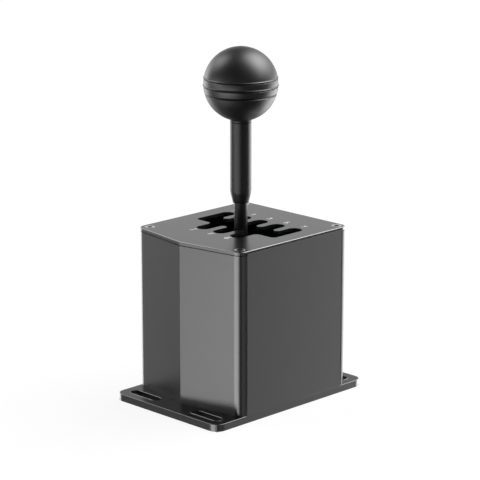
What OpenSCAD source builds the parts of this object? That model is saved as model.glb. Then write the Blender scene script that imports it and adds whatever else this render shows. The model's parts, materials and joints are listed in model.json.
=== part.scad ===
// Sim racing gear shifter: a ball-knobbed lever on a gimbal, guided by a slotted gate plate,
// in a flat-sided housing on a flanged base plate.
// Millimetres. +Z is up and +Y points away from the driver. The origin is under the base's middle.

/* [Base plate] */
// Width of the base plate and of the housing on it
base_w = 100; // [96:1:120]
// Length of the base plate, front to back
base_l = 144; // [142:1:180]
// Thickness of the base plate
base_t = 5; // [4:0.5:8]
// Corner radius of the base plate
base_corner_r = 7; // [3:0.5:10]
// Chamfer on the upper edges of the base plate and the gate plate
edge_chamfer = 0.6; // [0.2:0.1:0.8]
// Width of a fixing slot
fix_slot_w = 7; // [5:0.5:8]
// Length of a fixing slot, end to end
fix_slot_l = 27; // [15:1:34]
// Distance between the fixing slots across the base
fix_pitch_x = 60; // [50:1:64]
// Distance between the fixing slots along the base
fix_pitch_y = 124; // [122:1:130]

/* [Housing] */
// Height of the gate plate's upper face above the ground
body_h = 119; // [112:1:140]
// Distance of the front crease before the origin
crease_y = 57.5; // [55:0.5:58]
// Angle at which each front panel falls back from the crease
crease_angle = 9; // [4:0.5:10]
// Distance of the rear face behind the origin
rear_y = 54.5; // [53:0.5:58]
// Radius of the two front corners
front_corner_r = 6.5; // [6:0.5:9]
// Radius of the two rear corners
rear_corner_r = 5.5; // [5.5:0.5:9]
// Thickness of the covers and side panels
wall_t = 2.5; // [1.5:0.1:2.6]
// Width of the folded lip that each wall stands on
lip_w = 7; // [4:0.5:7]
// Length of the folded lip along each wall
lip_l = 68; // [40:1:70]
// Width of the dark joint lines between housing pieces
seam = 0.5; // [0.2:0.1:0.8]

/* [Gate] */
// Thickness of the gate plate
gate_t = 2.3; // [1.8:0.1:2.8]
// Thickness of the gate plate's lip over a side panel
gate_lip_t = 0.9; // [0.8:0.1:1.2]
// Distance between neighbouring gear columns
gear_pitch = 16.2; // [15:0.1:16.6]
// Width of a gear slot
gear_slot_w = 10.6; // [10.5:0.1:11.4]
// Distance from the lever to the far end of a gear slot
gear_reach = 24.4; // [22:0.1:26]
// Edge of the neutral channel on the driver's side of the lever
neutral_front = 6.7; // [6:0.1:7.5]
// Edge of the neutral channel on the far side of the lever
neutral_rear = 8.5; // [6:0.1:9.5]
// Rounding of the neutral channel's corners
neutral_fillet = 3.5; // [1:0.1:5]

/* [Lever] */
// Place of the lever behind the origin
lever_y = 0.5; // [-1:0.1:1]
// Height of the two pivot axes
pivot_z = 45; // [44:0.5:50]
// Diameter of the lever rod
rod_d = 9.3; // [8:0.1:9.3]
// Diameter of the upper sleeve
sleeve_d = 14.6; // [13.2:0.1:18]
// Diameter of the sleeve's foot
sleeve_foot_d = 10.8; // [10.6:0.1:12]
// Height of the sleeve's lower end
sleeve_z = 136.3; // [134:0.1:145]
// Length of the sleeve's taper
sleeve_taper_l = 7.6; // [3:0.1:12]
// Rounding of the shoulder above the taper
sleeve_shoulder_r = 12; // [4:1:20]
// Length of the lock ring under the knob
lock_ring_l = 1.6; // [1:0.1:6]
// Chamfer on the ends of the sleeve and the lock ring
sleeve_chamfer = 0.3; // [0.1:0.1:0.4]

/* [Knob] */
// Diameter of the ball knob
knob_d = 50.8; // [44:0.2:56]
// Height of the knob's centre
knob_z = 218.4; // [210:0.2:240]
// Distance between the knob's grooves
groove_pitch = 5.35; // [3:0.05:6]
// Middle groove's distance below the knob's centre
groove_drop = 1.2; // [0:0.1:3]
// Width of a groove at the surface
groove_w = 1.5; // [0.6:0.1:2]
// Depth of a groove
groove_depth = 0.8; // [0.3:0.1:1.2]
// Diameter of the threaded insert in the knob
insert_d = 13; // [12:0.1:14]
// Length of the threaded insert
insert_l = 18; // [14:1:22]

/* [Gimbal] */
// Half the width of the gimbal's window
window_x = 15; // [14:0.1:16]
// Half the length of the gimbal's window
window_y = 17; // [16:0.1:17.5]
// Wall of the gimbal frame
gimbal_wall = 6; // [5.5:0.1:6.5]
// Height of the gimbal frame
gimbal_h = 12; // [11:0.5:13]
// Diameter of the two roll pins
roll_pin_d = 8; // [6:0.1:9]
// Diameter of the cross axle
axle_d = 6; // [5:0.1:6.5]
// Wall of the flanged bushes
bush_wall = 2; // [1:0.1:2.2]
// Thickness of a bush's flange
flange_t = 1.5; // [1:0.1:2]
// Width of a bush's flange past the bush
flange_w = 0.9; // [0.5:0.1:0.9]
// Diameter of the lever hub
hub_d = 22; // [20:0.1:23]
// Diameter of the hub's side bosses
hub_boss_d = 14; // [10:0.5:16]
// Height of the hub above the cross axle
hub_up = 16; // [14:0.5:18]
// Depth of the hub below the cross axle
hub_down = 10; // [9:0.5:11]
// Depth of the rod in the hub
rod_seat = 11; // [8:0.5:11]

/* [Brackets] */
// Thickness of a pivot bracket
bracket_t = 6; // [4:0.5:7]
// Width of a bracket at the base
bracket_w = 32; // [28:1:34]
// Diameter of the bracket's round head
bracket_head_d = 22; // [20:0.5:24]
// Length of the bracket's foot
foot_l = 13; // [11:0.5:13]
// Thickness of the feet of the brackets and of the detent block
foot_t = 5; // [3:0.5:6]
// Distance between a bracket's two screws
foot_screw_pitch = 20; // [16:1:22]

/* [Detent] */
// Diameter of the plunger's ball end
ball_d = 5; // [4:0.1:5.4]
// Distance from the pivot to the ball's centre with the plunger raised
ball_reach = 31; // [30.5:0.1:31]
// How far the plunger drops into a notch
notch_drop = 1.5; // [0.8:0.1:1.5]
// Outer diameter of the detent tube
tube_d = 13; // [12:0.1:14]
// Distance from the pivot to the tube's lower end
tube_reach = 27; // [26.5:0.1:27.5]
// Bore of the detent tube
tube_bore_d = 7.2; // [6.6:0.1:7.6]
// Length of the plunger's head in the tube
head_l = 6; // [4:0.5:7]
// Length of the tube's spigot in the hub
spigot_l = 5; // [4:0.5:5]
// Width of the detent block
block_w = 25; // [22:0.5:25]
// Length of the detent block
block_l = 30; // [26:0.5:31]
// Height of the detent block
block_h = 12; // [10:0.5:12]
// Length of each foot of the detent block
block_foot_l = 8; // [7:0.5:8]

/* [Springs] */
// Mean diameter of a side spring
side_coil_d = 6.8; // [6:0.1:7]
// Wire of a side spring
side_wire_d = 1.2; // [0.8:0.1:1.4]
// Turns of a side spring
side_turns = 9; // [6:1:11]
// Height of a spring seat's flange
seat_t = 2; // [1.5:0.1:3]
// Height of the peg inside a side spring
peg_l = 6; // [4:0.5:10]
// Mean diameter of the detent spring
detent_coil_d = 5.8; // [5:0.1:5.9]
// Wire of the detent spring
detent_wire_d = 0.8; // [0.5:0.1:0.9]
// Turns of the detent spring
detent_turns = 6; // [4:1:7]

/* [Electronics] */
// Thickness of the circuit boards
board_t = 1.6; // [1:0.1:2]
// Width of the main board
board_w = 56; // [40:1:66]
// Height of the main board
board_h = 50; // [40:1:58]
// Gap between the gate plate and the main board's upper edge
board_drop = 4.7; // [3:0.1:8]
// Inset of the main board's spacers from its edges
spacer_inset = 4; // [3.5:0.5:6]
// Length of the main board's spacers
spacer_l = 10; // [8:0.5:14]
// Width of the data socket
socket_w = 13.4; // [12:0.1:16]
// Height of the data socket
socket_h = 12.4; // [12:0.1:14]
// Depth of the data socket's mouth
socket_depth = 10; // [6:0.5:11]
// Width of the data socket's mouth
mouth_w = 10; // [9:0.1:11]
// Height of the data socket's mouth above its latch steps
mouth_h = 6.8; // [6:0.1:7]
// Height of each latch step in the mouth
latch_step = 1.4; // [1:0.1:1.5]
// Width and height of a sensor board
sensor_w = 18; // [16:0.5:20]
// Width of a sensor chip
chip_w = 5; // [3:0.5:6]
// Thickness of a sensor magnet
magnet_t = 2; // [1:0.1:2.5]
// Gap between a magnet and its sensor chip
sensor_gap = 1; // [0.5:0.1:1.5]

/* [Clearances] */
// Play of a piece that is pressed or screwed into its seat, on the radius
seat_play = 0.02; // [0.01:0.01:0.05]
// Play of a pin that turns in a bush, on the radius
run_play = 0.03; // [0.02:0.01:0.08]
// Play of the plunger in its tube, on the radius
slide_play = 0.05; // [0.03:0.01:0.08]
// Least distance between pieces that move past each other
move_gap = 0.4; // [0.3:0.05:0.5]

/* [Hidden] */
$fn = 64;

// Overlap of a cutting solid past the face that it opens
cut = 1;

// Housing corners: the four arcs have one set of centres, whatever the inset
front_arc_x = base_w / 2 - front_corner_r;
front_arc_y = front_arc_x * tan(crease_angle) - crease_y + front_corner_r / cos(crease_angle);
rear_arc_x = base_w / 2 - rear_corner_r;
rear_arc_y = rear_y - rear_corner_r;
CORNERS = [
    [front_arc_x, front_arc_y], [-front_arc_x, front_arc_y],
    [rear_arc_x, rear_arc_y], [-rear_arc_x, rear_arc_y]
];

// Levels and places in the housing
gate_z = body_h - gate_t;
cover_top = gate_z - seam;
panel_top = body_h - gate_lip_t - seam;
panel_front = front_arc_y + seam;
panel_rear = rear_arc_y - seam;
panel_x = base_w / 2 - wall_t;
rear_wall_y = rear_y - wall_t;
post_r = min(front_corner_r, rear_corner_r) - wall_t - move_gap / 2;

// Small screws hold the plates to the posts, large ones hold the brackets to the base
small_r = 1.5;
small_head_r = 2.7;
small_head_h = small_head_r - small_r;
small_l = 10;
small_hex_r = 1.15;
small_hex_depth = 1;
large_r = 2;
large_head_r = 3.5;
large_head_h = 4;
large_bite = base_t / 2;
large_hex_r = 1.7;
large_hex_depth = 2;

// Gate: the land is what stays between two slots
land_w = gear_pitch - gear_slot_w;
channel_half = 2 * gear_pitch + gear_slot_w / 2;
gate_rise = body_h - gate_t / 2 - pivot_z;
select_tilt = atan(gear_pitch / gate_rise);
gear_stop = 0.6;
gear_travel = gear_reach - gear_slot_w / 2 - gear_stop;
gear_tilt = atan(gear_travel * cos(select_tilt) / gate_rise);

// Gimbal and brackets, measured from the pivot
gimbal_x = window_x + gimbal_wall;
gimbal_y = window_y + gimbal_wall;
gimbal_corner_r = 4;
roll_r = roll_pin_d / 2;
axle_r = axle_d / 2;
roll_bush_r = roll_r + run_play + bush_wall;
axle_bush_r = axle_r + run_play + bush_wall;
bracket_y = gimbal_y + move_gap + flange_t;
bracket_out = bracket_y + bracket_t;
pin_proud = 1;
roll_pin_end = bracket_out + pin_proud;
axle_end = gimbal_x + pin_proud;
hub_boss_x = window_x - flange_t - move_gap;
magnet_r = 2.5;
chip_t = 1;
sensor_post_r = 1.8;
sensor_post_x = 7;
pivot_rise = pivot_z - base_t;

// Screws of the brackets and of the detent block, in plan
foot_mid = bracket_out + foot_l / 2;
block_foot_mid = block_l / 2 + block_foot_l / 2;
BRACKET_SCREWS = [for (y = [-1, 1], x = [-1, 1]) [x * foot_screw_pitch / 2, lever_y + y * foot_mid]];
BLOCK_SCREWS = [for (y = [-1, 1]) [0, lever_y + y * block_foot_mid]];

// Lever
rod_r = rod_d / 2;
sleeve_r = sleeve_d / 2;
foot_r = sleeve_foot_d / 2;
knob_r = knob_d / 2;
knob_foot_z = knob_z - sqrt(knob_r * knob_r - sleeve_r * sleeve_r);
lock_ring_z = knob_foot_z - lock_ring_l;
taper_angle = atan((sleeve_r - foot_r) / sleeve_taper_l);
shoulder_z = sleeve_z + sleeve_taper_l + sleeve_shoulder_r * tan(taper_angle / 2);
SHOULDER_STEPS = 4;
rod_bottom = pivot_z + hub_up - rod_seat;
insert_cap = 3;
rod_top = knob_foot_z + insert_l - insert_cap;

// Detent, measured from the pivot
ball_r = ball_d / 2;
notch_r = ball_r + move_gap;
bowl_r = ball_reach + ball_r + move_gap;
notch_reach = ball_reach + notch_drop;
tube_lip_t = 2;
shank_r = ball_r;
head_r = tube_bore_d / 2 - slide_play;
head_low = tube_reach - tube_lip_t - notch_drop - move_gap;
head_high = head_low - head_l;
spigot_wall = 1.5;
spigot_r = tube_bore_d / 2 + spigot_wall;
chamber_cap = 1;
chamber_top = hub_down - spigot_l + chamber_cap;

// Springs
side_spring_x = window_x + gimbal_wall / 2;
seat_rim = 0.6;
seat_r = side_coil_d / 2 + side_wire_d / 2 + seat_rim;
peg_r = side_coil_d / 2 - side_wire_d / 2 - move_gap;
spring_low = base_t + seat_t;
spring_l = pivot_z - gimbal_h / 2 - spring_low;
detent_spring_l = head_high - chamber_top;
WIRE_SIDES = 6;
RINGS_PER_TURN = 8;

// Main board
board_y = rear_wall_y - spacer_l;
board_z = gate_z - board_drop - board_h;
socket_z = board_z + board_h / 2;
spacer_r = 2.5;
LATCH_WIDTHS = [6, 3.5];
SPACERS = [for (x = [-1, 1], z = [0, 1])
    [x * (board_w / 2 - spacer_inset), board_z + (z == 0 ? spacer_inset : board_h - spacer_inset)]];

// Finishes
BLACK = "#2d2d30";
KNOB_BLACK = "#1c1c1e";
STEEL = "#a9adb2";
BRONZE = "#b08d57";
BOARD = "#1f5a3a";
ALLOY = "#8d9197";

// Plan of the housing, drawn in by an inset
module housing_plan(inset = 0) {
    front_r = front_corner_r - inset;
    rear_r = rear_corner_r - inset;
    half = base_w / 2 - inset;
    tangent = [
        front_arc_x + front_r * sin(crease_angle),
        front_arc_y - front_r * cos(crease_angle)
    ];
    polygon([
        [0, -crease_y + inset / cos(crease_angle)],
        tangent, [half, front_arc_y], [half, rear_arc_y], [rear_arc_x, rear_y - inset],
        [-rear_arc_x, rear_y - inset], [-half, rear_arc_y], [-half, front_arc_y],
        [-tangent[0], tangent[1]]
    ]);
    for (side = [-1, 1]) {
        translate([side * front_arc_x, front_arc_y]) circle(front_r);
        translate([side * rear_arc_x, rear_arc_y]) circle(rear_r);
    }
}

// Rectangle with round corners, centred
module round_rectangle(w, l, r) {
    square([w - 2 * r, l], center = true);
    square([w, l - 2 * r], center = true);
    for (x = [-1, 1], y = [-1, 1])
        translate([x * (w / 2 - r), y * (l / 2 - r)]) circle(r);
}

// Slot with round ends along X, centred
module round_slot(length, w) {
    square([length - w, w], center = true);
    for (side = [-1, 1])
        translate([side * (length - w) / 2, 0]) circle(w / 2);
}

// Places its children at the crossing of the two pivot axes
module at_pivot() {
    translate([0, lever_y, pivot_z]) children();
}

// Countersunk screw with its head's face at z = 0 and its shank going down
module countersunk_screw() {
    difference() {
        union() {
            translate([0, 0, -small_head_h]) cylinder(h = small_head_h, r1 = small_r, r2 = small_head_r);
            translate([0, 0, -small_l]) cylinder(h = small_l, r = small_r);
        }
        translate([0, 0, -small_hex_depth])
            cylinder(h = small_hex_depth + cut, r = small_hex_r, $fn = 6);
    }
}

// Hole that a countersunk screw fills
module countersunk_hole() {
    translate([0, 0, -small_head_h - seat_play])
        cylinder(
            h = small_head_h + seat_play, r1 = small_r + seat_play, r2 = small_head_r + 2 * seat_play);
    translate([0, 0, -small_l]) cylinder(h = small_l, r = small_r + seat_play);
}

// Cap screw that clamps a foot whose upper face is at z = 0
module cap_screw() {
    difference() {
        union() {
            cylinder(h = large_head_h, r = large_head_r);
            translate([0, 0, -foot_t - large_bite]) cylinder(h = foot_t + large_bite, r = large_r);
        }
        translate([0, 0, large_head_h - large_hex_depth])
            cylinder(h = large_hex_depth + cut, r = large_hex_r, $fn = 6);
    }
}

// Flanged bush along +Z from its flange's face, with the flange at z = 0
module flanged_bush(bore_r, outer_r, length) {
    difference() {
        union() {
            cylinder(h = flange_t, r = outer_r + flange_w);
            cylinder(h = flange_t + length, r = outer_r);
        }
        translate([0, 0, -cut]) cylinder(h = flange_t + length + 2 * cut, r = bore_r);
    }
}

// Points of one ring round the middle line of a coil that climbs along +Z
function coil_ring(i, coil_r, wire_r, pitch) =
    let (
        turn = 360 * i / RINGS_PER_TURN,
        out = [cos(turn), sin(turn), 0],
        rise = atan(pitch / (2 * PI * coil_r)),
        along = [-sin(turn) * cos(rise), cos(turn) * cos(rise), sin(rise)],
        over = cross(along, out),
        middle = coil_r * out + [0, 0, wire_r + pitch * i / RINGS_PER_TURN]
    )
    [for (j = [0:WIRE_SIDES - 1])
        let (a = 360 * j / WIRE_SIDES) middle + wire_r * (cos(a) * out + sin(a) * over)];

// Compression spring standing on z = 0
module coil_spring(coil_d, wire_d, turns, length) {
    rings = turns * RINGS_PER_TURN;
    pitch = (length - wire_d) / turns;
    n = WIRE_SIDES;
    echo(str("least gap between turns ", pitch * cos(atan(pitch / (PI * coil_d))) - wire_d, " mm"));
    points = [for (i = [0:rings], p = coil_ring(i, coil_d / 2, wire_d / 2, pitch)) p];
    sides = [for (i = [0:rings - 1], j = [0:n - 1], half = [0, 1])
        let (a = i * n + j, b = i * n + (j + 1) % n)
        half == 0 ? [a, a + n, b + n] : [a, b + n, b]];
    start_cap = [for (j = [1:n - 2]) [0, j, j + 1]];
    end_cap = [for (j = [1:n - 2]) [rings * n, rings * n + j + 1, rings * n + j]];
    polyhedron(points, concat(sides, start_cap, end_cap));
}

// Base plate: slotted for fixing, drilled for the posts, brackets and detent block
module base_plate() {
    color(BLACK) difference() {
        hull() {
            linear_extrude(base_t - edge_chamfer)
                round_rectangle(base_w, base_l, base_corner_r, $fn = 32);
            linear_extrude(base_t) round_rectangle(
                base_w - 2 * edge_chamfer, base_l - 2 * edge_chamfer,
                base_corner_r - edge_chamfer, $fn = 32);
        }
        for (x = [-1, 1], y = [-1, 1])
            translate([x * fix_pitch_x / 2, y * fix_pitch_y / 2, -cut])
                linear_extrude(base_t + 2 * cut) round_slot(fix_slot_l, fix_slot_w);
        for (c = CORNERS)
            translate([c[0], c[1], 0]) rotate([180, 0, 0]) countersunk_hole();
        for (p = concat(BRACKET_SCREWS, BLOCK_SCREWS))
            translate([p[0], p[1], base_t - large_bite])
                cylinder(h = large_bite + cut, r = large_r + seat_play);
    }
}

// Cover wall between two Y values, with a lip folded in along the base
module cover(y_low, y_high, lip_shift) {
    band_l = y_high - y_low;
    translate([0, 0, base_t]) {
        linear_extrude(cover_top - base_t) intersection() {
            difference() {
                housing_plan();
                housing_plan(wall_t);
            }
            translate([-base_w, y_low]) square([2 * base_w, band_l]);
        }
        linear_extrude(wall_t) intersection() {
            difference() {
                housing_plan(wall_t / 2);
                translate([0, lip_shift]) housing_plan(wall_t);
            }
            translate([-lip_l / 2, lip_shift > 0 ? -base_l : 0]) square([lip_l, base_l]);
        }
    }
}

// Front cover, folded along the crease
module front_cover() {
    color(BLACK) cover(-base_l, front_arc_y, lip_w);
}

// Rear cover with the window for the data socket
module rear_cover() {
    color(BLACK) difference() {
        cover(rear_arc_y, base_l, -lip_w);
        translate([-socket_w / 2 - move_gap, rear_wall_y - cut, socket_z - socket_h / 2 - move_gap])
            cube([socket_w + 2 * move_gap, wall_t + 2 * cut, socket_h + 2 * move_gap]);
    }
}

// Side panel on the right, with its lip
module side_panel() {
    color(BLACK) {
        translate([panel_x, panel_front, base_t])
            cube([wall_t, panel_rear - panel_front, panel_top - base_t]);
        translate([panel_x - lip_w, -lip_l / 2, base_t]) cube([lip_w + wall_t / 2, lip_l, wall_t]);
    }
}

// Rounds the free end of a land; dir points from the end into the land
module land_end(x, y, dir) {
    translate([x, y]) difference() {
        translate([-land_w / 2, dir > 0 ? 0 : -land_w / 2]) square([land_w, land_w / 2]);
        translate([0, dir * land_w / 2]) circle(land_w / 2);
    }
}

// Opening of the gate: a neutral channel, five slots beyond it and three before it
module gate_opening() {
    front = lever_y - neutral_front;
    rear = lever_y + neutral_rear;
    translate([-channel_half, front + neutral_fillet])
        square([2 * channel_half, rear - front - neutral_fillet]);
    translate([-channel_half + neutral_fillet, front])
        square([2 * (channel_half - neutral_fillet), neutral_fillet]);
    for (side = [-1, 1])
        translate([side * (channel_half - neutral_fillet), front + neutral_fillet])
            circle(neutral_fillet);
    for (column = [-2:2], dir = abs(column) == 2 ? [1] : [-1, 1])
        translate([column * gear_pitch, lever_y]) rotate(dir > 0 ? 0 : 180) {
            translate([-gear_slot_w / 2, 0]) square([gear_slot_w, gear_reach - gear_slot_w / 2]);
            translate([0, gear_reach - gear_slot_w / 2]) circle(gear_slot_w / 2);
        }
    for (column = [-1.5:1.5])
        land_end(column * gear_pitch, rear, 1);
    for (column = [-0.5, 0.5])
        land_end(column * gear_pitch, front, -1);
    for (side = [-1, 1])
        translate([side * (gear_pitch + gear_slot_w / 2), front]) mirror([side < 0 ? 1 : 0, 0])
            difference() {
                translate([0, -neutral_fillet]) square(neutral_fillet);
                translate([neutral_fillet, -neutral_fillet]) circle(neutral_fillet);
            }
}

// Gate plate: laps over the side panels and is screwed to the posts
module gate_plate() {
    color(BLACK) difference() {
        translate([0, 0, gate_z]) hull() {
            linear_extrude(gate_t - edge_chamfer) housing_plan($fn = 32);
            linear_extrude(gate_t) housing_plan(edge_chamfer, $fn = 32);
        }
        translate([0, 0, gate_z - cut]) linear_extrude(gate_t + 2 * cut) gate_opening();
        for (c = CORNERS)
            translate([c[0], c[1], body_h]) countersunk_hole();
        for (side = [-1, 1])
            translate([side * base_w / 2, (front_arc_y + rear_arc_y) / 2, panel_top + seam - gate_t / 2])
                cube([2 * (wall_t + seam), rear_arc_y - front_arc_y, gate_t], center = true);
    }
}

// Post between the base plate and the gate plate, tapped at both ends
module corner_post(i) {
    color(ALLOY) translate([CORNERS[i][0], CORNERS[i][1], 0]) difference() {
        translate([0, 0, base_t]) cylinder(h = gate_z - base_t, r = post_r);
        translate([0, 0, base_t - cut]) cylinder(h = small_l - base_t + 2 * cut, r = small_r + seat_play);
        translate([0, 0, body_h - small_l - cut]) cylinder(h = small_l + cut, r = small_r + seat_play);
    }
}

module gate_screw(i) {
    color(STEEL) translate([CORNERS[i][0], CORNERS[i][1], body_h]) countersunk_screw();
}

module base_screw(i) {
    color(STEEL) translate([CORNERS[i][0], CORNERS[i][1], 0]) rotate([180, 0, 0]) countersunk_screw();
}

// Pivot bracket behind the gimbal, turned round for the front one
module pivot_bracket(turn) {
    color(ALLOY) at_pivot() rotate(turn) difference() {
        union() {
            translate([0, bracket_out, 0]) rotate([90, 0, 0]) linear_extrude(bracket_t) {
                circle(d = bracket_head_d);
                polygon([
                    [-bracket_w / 2, -pivot_rise], [bracket_w / 2, -pivot_rise],
                    [bracket_head_d / 2, 0], [-bracket_head_d / 2, 0]
                ]);
            }
            translate([-bracket_w / 2, bracket_y, -pivot_rise])
                cube([bracket_w, bracket_t + foot_l, foot_t]);
        }
        translate([0, bracket_y - cut, 0]) rotate([-90, 0, 0])
            cylinder(h = bracket_t + 2 * cut, r = roll_bush_r + seat_play);
        for (x = [-1, 1])
            translate([x * foot_screw_pitch / 2, foot_mid, -pivot_rise - cut])
                cylinder(h = foot_t + 2 * cut, r = large_r + seat_play);
    }
}

module roll_bush(turn) {
    color(BRONZE) at_pivot() rotate(turn) translate([0, bracket_y - flange_t, 0]) rotate([-90, 0, 0])
        flanged_bush(roll_r + run_play, roll_bush_r, bracket_t);
}

module bracket_screw(i) {
    color(STEEL) translate([BRACKET_SCREWS[i][0], BRACKET_SCREWS[i][1], base_t + foot_t]) cap_screw();
}

// Detent block: a bowl round the pivot with three notches, for neutral and for the gears on each side
module detent_block() {
    color(ALLOY) difference() {
        union() {
            translate([-block_w / 2, lever_y - block_l / 2, base_t]) cube([block_w, block_l, block_h]);
            translate([-block_w / 2, lever_y - block_l / 2 - block_foot_l, base_t])
                cube([block_w, block_l + 2 * block_foot_l, foot_t]);
        }
        at_pivot() sphere(bowl_r);
        for (tilt = [-gear_tilt, 0, gear_tilt])
            at_pivot() translate([0, notch_reach * sin(tilt), 0]) rotate([90, 0, 0])
                rotate_extrude() translate([notch_reach * cos(tilt), 0]) circle(notch_r);
        for (p = BLOCK_SCREWS)
            translate([p[0], p[1], base_t - cut]) cylinder(h = foot_t + 2 * cut, r = large_r + seat_play);
    }
}

module block_screw(i) {
    color(STEEL) translate([BLOCK_SCREWS[i][0], BLOCK_SCREWS[i][1], base_t + foot_t]) cap_screw();
}

// Seat of a side spring: a flange with a peg
module spring_seat(side) {
    color(ALLOY) translate([side * side_spring_x, lever_y, base_t]) {
        cylinder(h = seat_t, r = seat_r);
        cylinder(h = seat_t + peg_l, r = peg_r);
    }
}

module side_spring(side) {
    color(STEEL) translate([side * side_spring_x, lever_y, spring_low])
        coil_spring(side_coil_d, side_wire_d, side_turns, spring_l);
}

// Main board, upright before the rear cover
module main_board() {
    color(BOARD) difference() {
        translate([-board_w / 2, board_y - board_t, board_z]) cube([board_w, board_t, board_h]);
        for (p = SPACERS)
            translate([p[0], board_y + cut, p[1]]) rotate([90, 0, 0])
                cylinder(h = board_t + 2 * cut, r = small_r);
    }
}

module board_spacer(i) {
    color(STEEL) translate([SPACERS[i][0], rear_wall_y, SPACERS[i][1]]) rotate([90, 0, 0]) difference() {
        cylinder(h = spacer_l, r = spacer_r);
        translate([0, 0, spacer_l / 2]) cylinder(h = spacer_l, r = small_r);
    }
}

// Data socket: a modular jack whose mouth steps in for the plug's latch
module data_socket() {
    socket_l = rear_y - move_gap - board_y;
    mouth_low = -mouth_h / 2;
    color(BLACK) translate([0, board_y, socket_z]) difference() {
        translate([-socket_w / 2, 0, -socket_h / 2]) cube([socket_w, socket_l, socket_h]);
        translate([-mouth_w / 2, socket_l - socket_depth, mouth_low + latch_step])
            cube([mouth_w, socket_depth + cut, mouth_h]);
        for (i = [0:len(LATCH_WIDTHS) - 1])
            translate([-LATCH_WIDTHS[i] / 2, socket_l - socket_depth, mouth_low - i * latch_step])
                cube([LATCH_WIDTHS[i], socket_depth + cut, 2 * latch_step]);
    }
}

// Board with its chip and two posts, square to Z: the posts stand on z = 0
module sensor_board(post_l) {
    color(BOARD) {
        translate([-sensor_w / 2, -sensor_w / 2, post_l]) cube([sensor_w, sensor_w, board_t]);
        translate([-chip_w / 2, -chip_w / 2, post_l - chip_t]) cube([chip_w, chip_w, chip_t]);
        for (side = [-1, 1])
            translate([side * sensor_post_x, 0, 0]) cylinder(h = post_l, r = sensor_post_r);
    }
}

module roll_sensor() {
    at_pivot() translate([0, -bracket_out, 0]) rotate([90, 0, 0])
        sensor_board(roll_pin_end - bracket_out + magnet_t + sensor_gap + chip_t);
}

module shift_sensor() {
    at_pivot() translate([gimbal_x, 0, 0]) rotate([0, 90, 0]) rotate(90)
        sensor_board(axle_end - gimbal_x + magnet_t + sensor_gap + chip_t);
}

// Gimbal frame: rolls on its two pins and carries the cross axle
module gimbal_frame() {
    color(ALLOY) at_pivot() difference() {
        translate([0, 0, -gimbal_h / 2]) linear_extrude(gimbal_h) difference() {
            round_rectangle(2 * gimbal_x, 2 * gimbal_y, gimbal_corner_r);
            round_rectangle(2 * window_x, 2 * window_y, gimbal_corner_r);
        }
        rotate([90, 0, 0]) cylinder(h = 2 * gimbal_y + 2 * cut, r = roll_r + seat_play, center = true);
        rotate([0, 90, 0])
            cylinder(h = 2 * gimbal_x + 2 * cut, r = axle_bush_r + seat_play, center = true);
    }
}

module roll_pin(turn) {
    color(STEEL) at_pivot() rotate(turn) translate([0, window_y, 0]) rotate([-90, 0, 0])
        cylinder(h = roll_pin_end - window_y, r = roll_r);
}

module roll_magnet() {
    color(STEEL) at_pivot() translate([0, -roll_pin_end, 0]) rotate([90, 0, 0])
        cylinder(h = magnet_t, r = magnet_r);
}

module axle_bush(turn) {
    color(BRONZE) at_pivot() rotate(turn) translate([window_x - flange_t, 0, 0]) rotate([0, 90, 0])
        flanged_bush(axle_r + run_play, axle_bush_r, gimbal_wall);
}

// Hub: an upright body with bosses along the cross axle, and seats for the rod and the tube
module lever_hub() {
    color(ALLOY) at_pivot() difference() {
        union() {
            translate([0, 0, -hub_down]) cylinder(h = hub_up + hub_down, d = hub_d);
            rotate([0, 90, 0]) cylinder(h = 2 * hub_boss_x, d = hub_boss_d, center = true);
        }
        rotate([0, 90, 0]) cylinder(h = 2 * hub_boss_x + 2 * cut, r = axle_r + seat_play, center = true);
        translate([0, 0, hub_up - rod_seat]) cylinder(h = rod_seat + cut, r = rod_r + seat_play);
        translate([0, 0, -hub_down - cut]) cylinder(h = spigot_l + cut, r = spigot_r + seat_play);
    }
}

module cross_axle() {
    color(STEEL) at_pivot() rotate([0, 90, 0]) cylinder(h = 2 * axle_end, r = axle_r, center = true);
}

module shift_magnet() {
    color(STEEL) at_pivot() translate([axle_end, 0, 0]) rotate([0, 90, 0])
        cylinder(h = magnet_t, r = magnet_r);
}

module lever_rod() {
    color(BLACK) translate([0, lever_y, rod_bottom]) cylinder(h = rod_top - rod_bottom, r = rod_r);
}

// Sleeve: straight, with a round shoulder and a taper down to its foot
module lever_sleeve() {
    shoulder = [for (i = [SHOULDER_STEPS:-1:0])
        let (a = taper_angle * i / SHOULDER_STEPS)
        [sleeve_r - sleeve_shoulder_r * (1 - cos(a)), shoulder_z - sleeve_shoulder_r * sin(a)]];
    color(BLACK) translate([0, lever_y, 0]) rotate_extrude() polygon(concat(
        [[rod_r + seat_play, sleeve_z], [foot_r, sleeve_z]], shoulder,
        [
            [sleeve_r, lock_ring_z - sleeve_chamfer], [sleeve_r - sleeve_chamfer, lock_ring_z],
            [rod_r + seat_play, lock_ring_z]
        ]
    ));
}

module lock_ring() {
    color(BLACK) translate([0, lever_y, 0]) rotate_extrude() polygon([
        [rod_r + seat_play, lock_ring_z], [sleeve_r - sleeve_chamfer, lock_ring_z],
        [sleeve_r, lock_ring_z + sleeve_chamfer], [sleeve_r, knob_foot_z - sleeve_chamfer],
        [sleeve_r - sleeve_chamfer, knob_foot_z], [rod_r + seat_play, knob_foot_z]
    ]);
}

module knob_insert() {
    color(BRONZE) translate([0, lever_y, knob_foot_z]) difference() {
        cylinder(h = insert_l, d = insert_d);
        translate([0, 0, -cut]) cylinder(h = rod_top - knob_foot_z + cut, r = rod_r + seat_play);
    }
}

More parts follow.
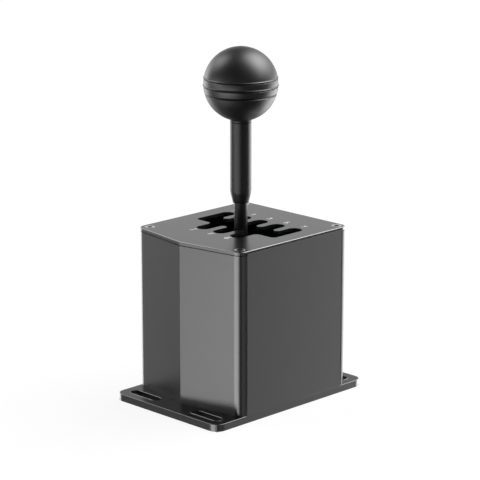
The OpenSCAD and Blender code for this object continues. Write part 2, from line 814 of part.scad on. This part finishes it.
// Ball knob, cut flat over the lock ring, with three V grooves round its middle
module knob() {
    color(KNOB_BLACK) translate([0, lever_y, knob_z]) difference() {
        sphere(knob_r, $fn = 96);
        translate([0, 0, knob_foot_z - knob_z - knob_r]) cylinder(h = knob_r, r = knob_r);
        translate([0, 0, knob_foot_z - knob_z - cut])
            cylinder(h = insert_l + cut, d = insert_d + 2 * seat_play);
        for (i = [-1, 0, 1]) {
            z = i * groove_pitch - groove_drop;
            surface_r = sqrt(knob_r * knob_r - z * z);
            rotate_extrude($fn = 96) polygon([
                [surface_r - groove_depth, z], [surface_r + groove_depth, z + groove_w],
                [surface_r + groove_depth, z - groove_w]
            ]);
        }
    }
}

// Detent tube: its spigot sits in the hub and its lip keeps the plunger in
module detent_tube() {
    color(STEEL) at_pivot() difference() {
        union() {
            translate([0, 0, -tube_reach]) cylinder(h = tube_reach - hub_down, d = tube_d);
            translate([0, 0, -hub_down]) cylinder(h = spigot_l, r = spigot_r);
        }
        translate([0, 0, -tube_reach + tube_lip_t])
            cylinder(h = tube_reach - tube_lip_t - chamber_top, d = tube_bore_d);
        translate([0, 0, -tube_reach - cut]) cylinder(h = tube_lip_t + 2 * cut, r = shank_r + slide_play);
    }
}

module detent_spring() {
    color(STEEL) at_pivot() translate([0, 0, -head_high])
        coil_spring(detent_coil_d, detent_wire_d, detent_turns, detent_spring_l);
}

// Plunger: a head that runs in the tube and a shank with a ball end
module detent_plunger() {
    color(STEEL) at_pivot() {
        translate([0, 0, -head_low]) cylinder(h = head_l, r = head_r);
        translate([0, 0, -ball_reach]) cylinder(h = ball_reach - head_low, r = shank_r);
        translate([0, 0, -ball_reach]) sphere(ball_r);
    }
}

base_plate();
front_cover();
rear_cover();
mirror([1, 0, 0]) side_panel();  // side_panel_left
side_panel();  // side_panel_right
gate_plate();
for (i = [0:3]) {
    corner_post(i);
    gate_screw(i);
    base_screw(i);
    bracket_screw(i);
    board_spacer(i);
}
pivot_bracket(180);  // pivot_bracket_front
pivot_bracket(0);  // pivot_bracket_rear
roll_bush(180);  // roll_bush_front
roll_bush(0);  // roll_bush_rear
detent_block();
block_screw(0);  // block_screw_front
block_screw(1);  // block_screw_rear
spring_seat(-1);  // spring_seat_left
spring_seat(1);  // spring_seat_right
side_spring(-1);  // side_spring_left
side_spring(1);  // side_spring_right
main_board();
data_socket();
roll_sensor();
gimbal_frame();
roll_pin(180);  // roll_pin_front
roll_pin(0);  // roll_pin_rear
roll_magnet();
axle_bush(180);  // axle_bush_left
axle_bush(0);  // axle_bush_right
shift_sensor();
lever_hub();
cross_axle();
shift_magnet();
lever_rod();
lever_sleeve();
lock_ring();
knob_insert();
knob();
detent_tube();
detent_spring();
detent_plunger();
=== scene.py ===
"""Looks of the sim racing gear shifter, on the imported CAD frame. Metres, +Z up, +Y away from the driver."""
import json
import math
import bmesh
import bpy
from mathutils import Matrix, Vector


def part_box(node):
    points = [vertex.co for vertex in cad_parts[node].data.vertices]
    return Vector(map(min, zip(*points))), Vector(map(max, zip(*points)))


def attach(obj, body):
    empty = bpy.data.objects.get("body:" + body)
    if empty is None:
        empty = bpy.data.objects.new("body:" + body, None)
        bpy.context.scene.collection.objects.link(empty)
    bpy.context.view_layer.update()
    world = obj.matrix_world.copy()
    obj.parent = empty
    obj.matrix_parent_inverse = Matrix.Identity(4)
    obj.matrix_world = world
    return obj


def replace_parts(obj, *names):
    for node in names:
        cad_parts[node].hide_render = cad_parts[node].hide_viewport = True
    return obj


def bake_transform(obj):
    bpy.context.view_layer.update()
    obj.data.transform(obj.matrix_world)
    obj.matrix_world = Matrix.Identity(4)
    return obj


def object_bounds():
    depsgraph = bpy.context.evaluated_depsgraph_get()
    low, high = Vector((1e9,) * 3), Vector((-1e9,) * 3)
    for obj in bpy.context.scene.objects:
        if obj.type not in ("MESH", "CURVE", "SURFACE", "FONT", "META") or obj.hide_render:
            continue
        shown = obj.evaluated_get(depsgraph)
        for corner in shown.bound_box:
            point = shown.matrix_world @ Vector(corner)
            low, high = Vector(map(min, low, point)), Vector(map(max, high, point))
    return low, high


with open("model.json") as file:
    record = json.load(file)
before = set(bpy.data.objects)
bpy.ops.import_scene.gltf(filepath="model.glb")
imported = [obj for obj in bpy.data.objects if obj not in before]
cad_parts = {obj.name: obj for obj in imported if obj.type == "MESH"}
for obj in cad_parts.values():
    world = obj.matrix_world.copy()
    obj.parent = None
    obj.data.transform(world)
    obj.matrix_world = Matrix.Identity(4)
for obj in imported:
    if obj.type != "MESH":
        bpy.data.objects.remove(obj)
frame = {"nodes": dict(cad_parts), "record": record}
cad_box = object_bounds()
NODES = frame["nodes"]
scene = bpy.context.scene
scene.view_settings.view_transform = "Standard"

MM = 0.001
GATE_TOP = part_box("gate_plate")[1].z
LEVER_Y = 0.0005
GEAR_PITCH = 0.0162


# Node helpers

def node(tree, kind, **sockets):
    """Adds a node and sets its inputs by name or number: a value, or an output socket to link."""
    n = tree.nodes.new(kind)
    for key, value in sockets.items():
        if key.startswith("_"):
            setattr(n, key[1:], value)
            continue
        socket = n.inputs[int(key[2:])] if key.startswith("in") and key[2:].isdigit() else n.inputs[key]
        if isinstance(value, bpy.types.NodeSocket):
            tree.links.new(value, socket)
        else:
            socket.default_value = value
    return n


def math_node(tree, operation, *values):
    return node(tree, "ShaderNodeMath", _operation=operation,
                **{f"in{i}": v for i, v in enumerate(values)}).outputs[0]


def noise(tree, where, scale, detail=2.0):
    return node(tree, "ShaderNodeTexNoise", Vector=where, Scale=scale, Detail=detail).outputs["Fac"]


def span(tree, value, low, high):
    """Maps 0..1 to low..high."""
    n = node(tree, "ShaderNodeMapRange", Value=value)
    n.inputs["To Min"].default_value = low
    n.inputs["To Max"].default_value = high
    return n.outputs[0]


def mix(tree, factor, first, second):
    """Blends two colours, each a triple or an output socket."""
    n = node(tree, "ShaderNodeMix", _data_type="RGBA", Factor=factor)
    ends = [socket for socket in n.inputs if socket.type == "RGBA"]
    for socket, colour in zip(ends, (first, second)):
        if isinstance(colour, bpy.types.NodeSocket):
            tree.links.new(colour, socket)
        else:
            socket.default_value = (*colour, 1)
    return [socket for socket in n.outputs if socket.type == "RGBA"][0]


# Materials

GRAIN_SCALE = 1800.0
DRIFT_SCALE = 42.0
WEAR_AND_HIGHLIGHT_SCALE = 260.0
ROUGH_SWING = 0.05
RELIEF = 0.06
RELIEF_DEPTH = 0.00004
# Edges made lighter, partly by wear and partly as painted highlight
WEAR_AND_HIGHLIGHT = 0.25
WEAR_AND_HIGHLIGHT_GAIN = 2.2
# Upward part of the normal, and cosine between soft and plain normal, where an effect begins and is full
UPWARD = (0.90, 0.99)
WEAR_AND_HIGHLIGHT_SPAN = (0.99, 0.85)


def swing(colour, share):
    """A colour made darker and lighter by a share."""
    return [c * (1 - share) for c in colour], [min(1.0, c * (1 + share)) for c in colour]


def finish(name, colour, metallic, rough, mottle=0.06, stretch=None, edge=0.0, top=None, top_rough=None):
    """A finish with fine grain in its roughness and bump, a slow drift in its colour, and soft edges made
    lighter, partly by wear and partly as painted highlight.

    Faces that look up may have a darker grey of their own, which is painted shade, and a roughness of their
    own.
    """
    m = bpy.data.materials.new(name)
    m.use_nodes = True
    t = m.node_tree
    shader = t.nodes["Principled BSDF"]
    where = node(t, "ShaderNodeTexCoord").outputs["Object"]
    fine_where = where
    if stretch:
        fine_where = node(t, "ShaderNodeMapping", Vector=where, Scale=stretch).outputs[0]
    fine = noise(t, fine_where, GRAIN_SCALE, 3.0)
    slow = noise(t, where, DRIFT_SCALE, 3.0)
    rough_out = span(t, fine, rough - ROUGH_SWING, rough + ROUGH_SWING)
    colour_out = mix(t, slow, *swing(colour, mottle))
    # A darker grey on faces that look up: painted shade.
    if top:
        facing = node(t, "ShaderNodeSeparateXYZ", Vector=node(t, "ShaderNodeNewGeometry").outputs["Normal"])
        upward = node(t, "ShaderNodeMapRange", Value=facing.outputs["Z"])
        upward.inputs["From Min"].default_value, upward.inputs["From Max"].default_value = UPWARD
        painted_top_shade = mix(t, slow, *swing([top] * 3, mottle))
        colour_out = mix(t, upward.outputs[0], colour_out, painted_top_shade)
        smoother = math_node(t, "MULTIPLY", upward.outputs[0], rough - (top_rough or rough))
        rough_out = math_node(t, "SUBTRACT", rough_out, smoother)
    relief = node(t, "ShaderNodeBump", Height=fine, Strength=RELIEF, Distance=RELIEF_DEPTH)
    # Edges made lighter in patches: partly wear, partly painted highlight.
    if edge:
        soft = node(t, "ShaderNodeBevel", _samples=4, Radius=edge).outputs[0]
        plain = node(t, "ShaderNodeNewGeometry").outputs["Normal"]
        same = node(t, "ShaderNodeVectorMath", _operation="DOT_PRODUCT", in0=soft, in1=plain)
        wear_and_highlight_mask = node(t, "ShaderNodeMapRange", Value=same.outputs["Value"])
        wear_and_highlight_mask.inputs["From Min"].default_value, wear_and_highlight_mask.inputs["From Max"].default_value = WEAR_AND_HIGHLIGHT_SPAN
        wear_and_highlight_mask.inputs["To Max"].default_value = WEAR_AND_HIGHLIGHT
        patches = span(t, noise(t, where, WEAR_AND_HIGHLIGHT_SCALE, 4.0), 0.2, 1.4)
        patchy_wear_and_highlight = math_node(t, "MULTIPLY", wear_and_highlight_mask.outputs[0], patches)
        colour_out = mix(t, patchy_wear_and_highlight, colour_out, [min(1.0, c * WEAR_AND_HIGHLIGHT_GAIN) for c in colour])
        t.links.new(soft, relief.inputs["Normal"])
    t.links.new(colour_out, shader.inputs["Base Color"])
    t.links.new(rough_out, shader.inputs["Roughness"])
    t.links.new(relief.outputs[0], shader.inputs["Normal"])
    shader.inputs["Metallic"].default_value = metallic
    return m


BLACK = (0.268, 0.268, 0.271)
ANODISED = finish("satin_black_anodised", BLACK, 1.0, 0.30, mottle=0.02)
# The gate plate and the base plate take a darker grey on faces that look up: painted shade.
GATE = finish("satin_black_gate", BLACK, 1.0, 0.30, mottle=0.02, top=0.19, top_rough=0.25)
COATED = finish("satin_black_base", (0.255, 0.255, 0.258), 1.0, 0.30, mottle=0.02, top=0.12)
LEVER = finish("lever_black_oxide", (0.108, 0.108, 0.109), 1.0, 0.42, mottle=0.03, stretch=(1, 1, 0.12))
KNOB = finish("knob_satin_black", (0.147, 0.147, 0.149), 1.0, 0.42, mottle=0.02)
# Black oxide made darker still: partly the screws' own colour, partly painted shade in their sockets.
SCREW = finish("screw_black_oxide", (0.03, 0.03, 0.03), 1.0, 0.30, edge=0.0002)
# The rear cover takes a darker copy of the anodised finish: painted shade that dims the sheen on its corners.
REAR_PAINTED_SHADE = finish("satin_black_rear", (0.09, 0.09, 0.092), 1.0, 0.30, mottle=0.02)
# A bright ring on the screw heads: painted highlight.
SCREW_PAINTED_HIGHLIGHT = finish("screw_turned_face", (0.80, 0.80, 0.81), 1.0, 0.24)
ALUMINIUM = finish("milled_aluminium", (0.55, 0.56, 0.58), 1.0, 0.36, stretch=(1, 8, 1), edge=0.0003)
STEEL = finish("ground_steel", (0.60, 0.61, 0.62), 1.0, 0.26, stretch=(1, 1, 6), edge=0.0002)
SPRING = finish("spring_wire", (0.45, 0.46, 0.47), 1.0, 0.30)
BRONZE = finish("sintered_bronze", (0.50, 0.36, 0.18), 1.0, 0.42, mottle=0.12)
GOLD = finish("gold_plating", (0.78, 0.57, 0.22), 1.0, 0.28, mottle=0.03)
BOARD = finish("solder_mask", (0.02, 0.10, 0.05), 0.0, 0.38, mottle=0.10)
SOCKET = finish("socket_plastic", (0.03, 0.03, 0.03), 0.0, 0.45)
PRINT = finish("white_print", (0.90, 0.90, 0.90), 0.0, 0.55, mottle=0.03)
BY_SLOT = {"black_anodised": ANODISED, "black_steel": COATED, "lever_black": LEVER, "knob_black": KNOB,
           "black_screw": SCREW, "plain_aluminium": ALUMINIUM, "bright_steel": STEEL, "spring_steel": SPRING,
           "bronze": BRONZE, "circuit_board": BOARD, "socket_plastic": SOCKET}
for part in frame["record"]["subparts"]:
    mesh = NODES[part["node"]].data
    mesh.materials.clear()
    mesh.materials.append(BY_SLOT[part["material_slot"]])
NODES["rear_cover"].data.materials[0] = REAR_PAINTED_SHADE
NODES["gate_plate"].data.materials[0] = GATE


# Pieces

def piece(obj, body, material):
    """Gives a piece its only material and its body."""
    obj.data.materials.clear()
    obj.data.materials.append(material)
    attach(obj, body)
    return obj


CAPITAL_SHARE = 0.7
STROKE_SHARE = 0.055
PRINT_T = 0.00002
PRINT_RISE = 0.00003


def label(text, x, y, height):
    """A printed character on the gate plate, of that height, thickened to a bold stroke."""
    curve = bpy.data.curves.new(f"gear_label_{text}", "FONT")
    curve.body = text
    curve.size = height / CAPITAL_SHARE
    curve.extrude = PRINT_T
    curve.align_x = "CENTER"
    curve.align_y = "CENTER"
    curve.resolution_u = 6
    curve.offset = STROKE_SHARE * height
    obj = bpy.data.objects.new(f"gear_label_{text}", curve)
    scene.collection.objects.link(obj)
    obj.location = (x, y, GATE_TOP + PRINT_RISE)
    piece(obj, "housing", PRINT)


# Rows of labels: shift against the gear columns, place along Y, height, and the label of each column
LABEL_ROWS = (
    (-0.0014, 0.0303, 0.0045, {"R": -2, "1": -1, "3": 0, "5": 1, "7": 2}),
    (-0.0009, -0.0276, 0.0056, {"2": -1, "4": 0, "6": 1}),
)
for shift, y, height, row in LABEL_ROWS:
    for text, column in row.items():
        label(text, column * GEAR_PITCH + shift, y, height)


def mesh_piece(name, build, body, material, sharp=None):
    """Makes a piece from a finished bmesh; edges turned by more than sharp degrees stay crisp."""
    bmesh.ops.recalc_face_normals(build, faces=build.faces)
    data = bpy.data.meshes.new(name)
    build.to_mesh(data)
    build.free()
    if sharp:
        data.shade_smooth()
        data.set_sharp_from_angle(angle=math.radians(sharp))
    obj = bpy.data.objects.new(name, data)
    scene.collection.objects.link(obj)
    return piece(obj, body, material)


def skin(build, rings, capped=False):
    """Joins neighbouring closed rings of vertices by faces, and closes both ends if capped."""
    count = len(rings[0])
    for one, two in zip(rings, rings[1:]):
        for k in range(count):
            build.faces.new((one[k], one[(k + 1) % count], two[(k + 1) % count], two[k]))
    if capped:
        build.faces.new(rings[0])
        build.faces.new(rings[-1])


def lathe(build, profile, centre, segments, hole_sides=0, capped=False):
    """Turns (radius, height) points about the vertical through centre.

    The first two rings follow a polygon with hole_sides sides, if given.
    """
    rings = []
    for j, (r, z) in enumerate(profile):
        ring = []
        for k in range(segments):
            a = math.tau * k / segments
            reach = r
            if hole_sides and j < 2:
                part = math.pi / hole_sides
                reach = r * math.cos(part) / math.cos((a + part) % (2 * part) - part)
            ring.append(build.verts.new(centre + Vector((reach * math.cos(a), reach * math.sin(a), z))))
        rings.append(ring)
    skin(build, rings, capped)


# Knob with a rolled lip over its upper grooves: heights over the groove and rises over the ball, in mm
KNOB_R = 0.0254
KNOB_SEGMENTS = 160
KNOB_CENTRE = Vector((0, LEVER_Y, 0.2184))
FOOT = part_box("knob")[0].z - KNOB_CENTRE.z
FOOT_BORE_R = 0.0045
FOOT_CHAMFER = 0.0004
GROOVE_PITCH = 0.00535
GROOVES = (-0.00655, -0.0012, 0.00415)
LIP = ((-0.80, 0.0), (-0.10, -0.60), (0.26, 0.30), (0.40, 0.36), (0.92, 0.0))
PLAIN = ((-0.80, 0.0), (0.0, -0.70), (0.75, 0.0))


def on_ball(z, rise=0.0):
    """Radius and height of a point of the knob, at a height over its centre."""
    return (math.sqrt(KNOB_R ** 2 - z ** 2) + rise, z)


def at_latitude(degrees):
    return on_ball(KNOB_R * math.sin(math.radians(degrees)))


profile = [(FOOT_BORE_R, FOOT), on_ball(FOOT, -FOOT_CHAMFER)]
profile += [at_latitude(a) for a in range(-72, -18, 3)]
for z in GROOVES:
    profile += [on_ball(z + dz * MM, rise * MM) for dz, rise in (LIP if z > GROOVES[0] else PLAIN)]
    if z < GROOVES[-1]:
        profile += [on_ball(z + f * GROOVE_PITCH) for f in (0.35, 0.5, 0.65)]
profile += [at_latitude(a) for a in (*range(14, 88, 3), 89)]
build = bmesh.new()
lathe(build, profile, KNOB_CENTRE, KNOB_SEGMENTS, capped=True)
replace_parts(mesh_piece("knob_turned", build, "lever", KNOB, 14), "knob")

# Gate screws: a dark body with its hexagon socket, partly black oxide and partly painted shade, and round it
# a bright ring that is a painted highlight
SCREW_SEGMENTS = 48
HEXAGON_SIDES = 6
HEXAGON_R = 0.0019
HEXAGON_DEPTH = 0.0014
SHANK_R = 0.00148
UNDER_FACE = -0.00002
HIGHLIGHT_RING = ((HEXAGON_R, -0.00001), (HEXAGON_R, 0.00006), (0.0033, 0.00008), (0.0036, 0.00001))
for i in (1, 2, 3, 4):
    low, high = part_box(f"gate_screw_{i}")
    centre = Vector(((low.x + high.x) / 2, (low.y + high.y) / 2, high.z))
    head_r = (high.x - low.x) / 2
    profile = ((HEXAGON_R, -HEXAGON_DEPTH), (HEXAGON_R, UNDER_FACE), (head_r, UNDER_FACE),
               (SHANK_R, SHANK_R - head_r), (SHANK_R, low.z - high.z))
    build = bmesh.new()
    lathe(build, profile, centre, SCREW_SEGMENTS, HEXAGON_SIDES, capped=True)
    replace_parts(mesh_piece(f"gate_screw_body_{i}", build, "housing", SCREW, 30),
                f"gate_screw_{i}")
    build = bmesh.new()
    lathe(build, HIGHLIGHT_RING, centre, SCREW_SEGMENTS, HEXAGON_SIDES)
    mesh_piece(f"gate_screw_face_{i}", build, "housing", SCREW_PAINTED_HIGHLIGHT, 30)


def corner(x, y, radius, first, last, steps=12):
    """Points of a round corner with their outward normals, anticlockwise from above, in degrees from +X."""
    out = []
    for i in range(steps + 1):
        a = math.radians(first + (last - first) * i / steps)
        n = Vector((math.cos(a), math.sin(a), 0))
        out.append((Vector((x, y, 0)) + n * radius, n))
    return out


def fine_edge(width, left):
    """Section that fills a chamfer of that width but for a fine edge: inset and height of its corners."""
    return ((0.0, -width), (0.0, -left), (left, 0.0), (width, 0.0))


def edge_bead(name, outline, top, section, material):
    """A bead with a four-cornered section along a closed outline."""
    build = bmesh.new()
    rings = [[build.verts.new(p - n * d + Vector((0, 0, top + z))) for d, z in section] for p, n in outline]
    skin(build, rings + rings[:1])
    mesh_piece(name, build, "housing", material, 20)


BASE_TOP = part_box("base_plate")[1].z
EDGE_CHAMFER = 0.0006
GATE_FINE = 0.00026
BASE_FINE = 0.00012
CREASE_Y = -0.0575
CREASE_ANGLE = 9
# Corners of the housing on the right and of the base all round: centre and radius
FRONT_CORNER = (0.0435, -0.04403, 0.0065)
REAR_CORNER = (0.0445, 0.049, 0.0055)
BASE_X, BASE_Y, BASE_R = 0.043, 0.065, 0.007
half = corner(*FRONT_CORNER, CREASE_ANGLE - 90, 0) + corner(*REAR_CORNER, 0, 90)
mirrored = [(Vector((-p.x, p.y, 0)), Vector((-n.x, n.y, 0))) for p, n in reversed(half)]
crease = [(Vector((0, CREASE_Y, 0)), Vector((0, -1 / math.cos(math.radians(CREASE_ANGLE)), 0)))]
outline = crease + half + mirrored
edge_bead("gate_edge", outline, GATE_TOP, fine_edge(EDGE_CHAMFER, GATE_FINE), ANODISED)
quarters = ((1, -1, -90), (1, 1, 0), (-1, 1, 90), (-1, -1, 180))
outline = [pair for sx, sy, first in quarters
           for pair in corner(sx * BASE_X, sy * BASE_Y, BASE_R, first, first + 90)]
edge_bead("base_edge", outline, BASE_TOP, fine_edge(EDGE_CHAMFER, BASE_FINE), COATED)

# Low rolled lips round the fixing slots
SLOT_R = 0.0035
SLOT_HALF = 0.010
SLOT_X, SLOT_Y = 0.030, 0.062
LIP_SECTION = ((0.0, -0.00002), (-0.00016, 0.00014), (-0.00030, 0.00014), (-0.00055, -0.00002))
for i, (sx, sy) in enumerate(((-1, -1), (1, -1), (-1, 1), (1, 1)), 1):
    x, y = sx * SLOT_X, sy * SLOT_Y
    ends = corner(x + SLOT_HALF, y, SLOT_R, -90, 90) + corner(x - SLOT_HALF, y, SLOT_R, 90, 270)
    edge_bead(f"fixing_slot_lip_{i}", ends, BASE_TOP, LIP_SECTION, COATED)

# Sprung contacts along the roof of the data socket's mouth
CONTACTS = 8
CONTACT_PITCH = 0.00102
CONTACT_HALF_W = 0.00020
CONTACT_T = 0.00022
low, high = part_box("data_socket")
# Depth behind the socket's face and under its top
CONTACT_PATH = ((0.0012, 0.00195), (0.0024, 0.0021), (0.0052, 0.0034), (0.0072, 0.0040), (0.0082, 0.0038))
build = bmesh.new()
for i in range(CONTACTS):
    middle = (i - (CONTACTS - 1) / 2) * CONTACT_PITCH
    rings = [[build.verts.new((middle + dx, high.y - back, high.z - down + dz)) for dx, dz in
              ((-CONTACT_HALF_W, 0), (CONTACT_HALF_W, 0), (CONTACT_HALF_W, -CONTACT_T),
               (-CONTACT_HALF_W, -CONTACT_T))] for back, down in CONTACT_PATH]
    skin(build, rings, capped=True)
mesh_piece("socket_contacts", build, "housing", GOLD)

# Seals that close the base plate's edge under the side panels
SEAL_SECTION = ((0.04999, 0.00438), (0.04999, 0.00502), (0.04936, 0.00502), (0.04936, 0.00498))
for name, side in (("left", -1), ("right", 1)):
    low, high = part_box(f"side_panel_{name}")
    build = bmesh.new()
    rings = [[build.verts.new((side * x, y, z)) for x, z in SEAL_SECTION] for y in (low.y, 0.0, high.y)]
    skin(build, rings, capped=True)
    mesh_piece(f"base_seal_{name}", build, "housing", ANODISED)

# Springs: mean radius of the coil, radius of the wire, and turns
SIDE_COIL = (0.0034, 0.0006, 9)
DETENT_COIL = (0.0029, 0.0004, 6)
TURN_STEPS = 40
WIRE_SIDES = 14
GROUND_SHARE = 0.4


def spring(replaced, body, upper_body, x, low, high, coil_r, wire_r, turns):
    """A compression spring with closed, ground ends: a smooth tube on a helix between its two seats."""
    steps, sides = TURN_STEPS * turns, WIRE_SIDES
    first, last = low + GROUND_SHARE * wire_r, high - GROUND_SHARE * wire_r
    closed = 2.0 * wire_r
    pitch = (last - first - 2 * closed) / (turns - 2)
    build = bmesh.new()
    rings = []
    for i in range(steps + 1):
        t = turns * i / steps
        z = first + closed * (min(t, 1) + max(t - turns + 1, 0)) + pitch * min(max(t - 1, 0), turns - 2)
        slope = (closed if t < 1 or t > turns - 1 else pitch) / math.tau
        turn = math.tau * t
        out = Vector((math.cos(turn), math.sin(turn), 0))
        along = Vector((-coil_r * math.sin(turn), coil_r * math.cos(turn), slope)).normalized()
        over = along.cross(out)
        ring = []
        for k in range(sides):
            a = math.tau * k / sides
            p = Vector((x, LEVER_Y, z)) + out * (coil_r + wire_r * math.cos(a))
            p += over * (wire_r * math.sin(a))
            p.z = min(max(p.z, low), high)
            ring.append(build.verts.new(p))
        rings.append(ring)
    skin(build, rings)
    for face in build.faces:
        face.smooth = True
    build.faces.new(rings[0])
    build.faces.new(rings[-1])
    bmesh.ops.recalc_face_normals(build, faces=build.faces)
    data = bpy.data.meshes.new(f"{replaced}_wire")
    build.to_mesh(data)
    build.free()
    obj = bpy.data.objects.new(f"{replaced}_wire", data)
    scene.collection.objects.link(obj)
    data.materials.append(SPRING)
    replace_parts(obj, replaced)
    if body == "housing":
        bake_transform(obj)
    else:
        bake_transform(obj)


for name in ("side_spring_left", "side_spring_right"):
    low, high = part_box(name)
    spring(name, "housing", "gimbal", (low.x + high.x) / 2, low.z, high.z, *SIDE_COIL)
low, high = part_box("detent_spring")
spring("detent_spring", "lever", "plunger", 0.0, low.z, high.z, *DETENT_COIL)


# Studio

def soft_box(tree, azimuth, elevation, centre, half, soft, strength):
    """A soft-edged bright field of the surroundings, in degrees: centre, half size and edge."""
    turn = math_node(tree, "WRAP", math_node(tree, "SUBTRACT", azimuth, math.radians(centre[0])),
                     math.pi, -math.pi)
    lift = math_node(tree, "SUBTRACT", elevation, math.radians(centre[1]))
    fields = []
    for angle, size, edge in ((turn, half[0], soft[0]), (lift, half[1], soft[1])):
        n = node(tree, "ShaderNodeMapRange", Value=math_node(tree, "ABSOLUTE", angle))
        n.interpolation_type = "SMOOTHSTEP"
        n.inputs["From Min"].default_value = math.radians(size + edge)
        n.inputs["From Max"].default_value = math.radians(max(size - edge, 0.0))
        fields.append(n.outputs[0])
    return math_node(tree, "MULTIPLY", math_node(tree, "MULTIPLY", *fields), strength)


# Centre, half size and edge softness in azimuth and elevation, and strength. Azimuth 0 is before the crease,
# and it grows towards the right-hand panel
SOFT_BOXES = (
    ((2.9, -18.5), (29.9, 7.1), (12.3, 4.0), 2.51),
    ((-74.8, 42.9), (20.1, 13.7), (4.0, 10.3), 3.1),
    ((174.0, -23.9), (24.8, 21.7), (4.0, 4.6), 3.33),
    ((155.6, 51.1), (37.1, 22.4), (23.8, 22.4), 5.57),
    ((86.9, -17.1), (16.5, 7.6), (20.5, 4.0), 0.27),
    ((-93.9, -8.7), (11.7, 19.6), (13.7, 19.7), 3.55),
    ((-34.2, 0.5), (21.2, 6.0), (10.4, 4.2), 2.24),
    ((-27.5, -40.7), (30.3, 11.1), (23.2, 4.4), 0.6),
    ((45.0, 18.0), (60.0, 12.0), (30.0, 10.0), 0.05),
)
BACKDROP = ((-143.6, -3.0), (66.8, 30.5), (4.0, 26.4), 0.91)
ROOM = 0.025
world = bpy.data.worlds.new("studio")
scene.world = world
world.use_nodes = True
tree = world.node_tree
tree.nodes.clear()
direction = node(tree, "ShaderNodeSeparateXYZ",
                 Vector=node(tree, "ShaderNodeTexCoord").outputs["Generated"])
ahead = math_node(tree, "MULTIPLY", direction.outputs["Y"], -1.0)
azimuth = math_node(tree, "ARCTAN2", direction.outputs["X"], ahead)
elevation = math_node(tree, "ARCSINE", direction.outputs["Z"])
light = soft_box(tree, azimuth, elevation, *BACKDROP)
for box in SOFT_BOXES:
    light = math_node(tree, "ADD", light, soft_box(tree, azimuth, elevation, *box))
light = math_node(tree, "ADD", light, ROOM)
path = node(tree, "ShaderNodeLightPath")
sheet = soft_box(tree, azimuth, elevation, *BACKDROP[:3], 1.0)
mirrored_sheet = math_node(tree, "MULTIPLY", sheet, path.outputs["Is Glossy Ray"])
light = math_node(tree, "MAXIMUM", light, mirrored_sheet)
studio = node(tree, "ShaderNodeBackground", Strength=light)
white = node(tree, "ShaderNodeBackground", Color=(1, 1, 1, 1), Strength=1.0)
seen = math_node(tree, "MAXIMUM", path.outputs["Is Camera Ray"], path.outputs["Is Transmission Ray"])
both = node(tree, "ShaderNodeMixShader", in0=seen, in1=studio.outputs[0], in2=white.outputs[0])
node(tree, "ShaderNodeOutputWorld", Surface=both.outputs[0])


def floor_sheet(name, size, z, material_name, grey, glow):
    """A flat, matte sheet that also glows, of that size along X and Y."""
    mesh = bpy.data.meshes.new(name)
    build = bmesh.new()
    bmesh.ops.create_grid(build, x_segments=8, y_segments=8, size=0.5, matrix=Matrix.Diagonal((*size, 1, 1)))
    build.to_mesh(mesh)
    build.free()
    sheet = bpy.data.objects.new(name, mesh)
    scene.collection.objects.link(sheet)
    sheet.location.z = z
    material = bpy.data.materials.new(material_name)
    material.use_nodes = True
    tree = material.node_tree
    tree.nodes.clear()
    matte = node(tree, "ShaderNodeBsdfDiffuse", Color=(grey, grey, grey, 1))
    light = node(tree, "ShaderNodeEmission", Color=(1, 1, 1, 1), Strength=glow)
    total = node(tree, "ShaderNodeAddShader", in0=matte.outputs[0], in1=light.outputs[0])
    node(tree, "ShaderNodeOutputMaterial", Surface=total.outputs[0])
    mesh.materials.append(material)
    return sheet


FLOOR_SIZE = 12.0
floor = floor_sheet("floor", (FLOOR_SIZE, FLOOR_SIZE), -0.0001, "pale_floor", 0.14, 0.90)
floor.visible_diffuse = False
floor.visible_glossy = False
floor.visible_transmission = False
floor.visible_shadow = False

# A dark sheet under the base plate, with a faint glow, is painted shadow of the floor there
SHADE_INSET = 0.003
shade_size = (2 * cad_box[1].x - SHADE_INSET, 2 * cad_box[1].y - SHADE_INSET)
shade = floor_sheet("floor_under_base", shade_size, -0.00005, "shaded_floor", 0.02, 0.05)


# Camera, as fitted to the straight edges of the photograph

AZIMUTH = math.radians(44.918)
ELEVATION = math.radians(14.647)
EYE = (1.03421, -1.03742, 0.49245)
FOCAL_PX = 2206.09
IMAGE_PX = 480
SENSOR_MM = 36.0
back = Vector((math.sin(AZIMUTH) * math.cos(ELEVATION), -math.cos(AZIMUTH) * math.cos(ELEVATION),
               math.sin(ELEVATION)))
right = Vector((math.cos(AZIMUTH), math.sin(AZIMUTH), 0))
up = back.cross(right)
camera_data = bpy.data.cameras.new("camera")
camera_data.sensor_width = SENSOR_MM
camera_data.sensor_fit = "HORIZONTAL"
camera_data.lens = FOCAL_PX / IMAGE_PX * SENSOR_MM
camera_data.clip_end = 20.0
camera = bpy.data.objects.new("camera", camera_data)
scene.collection.objects.link(camera)
turn = Matrix((right, up, back)).transposed().to_4x4()
camera.matrix_world = Matrix.Translation(EYE) @ turn
scene.camera = camera
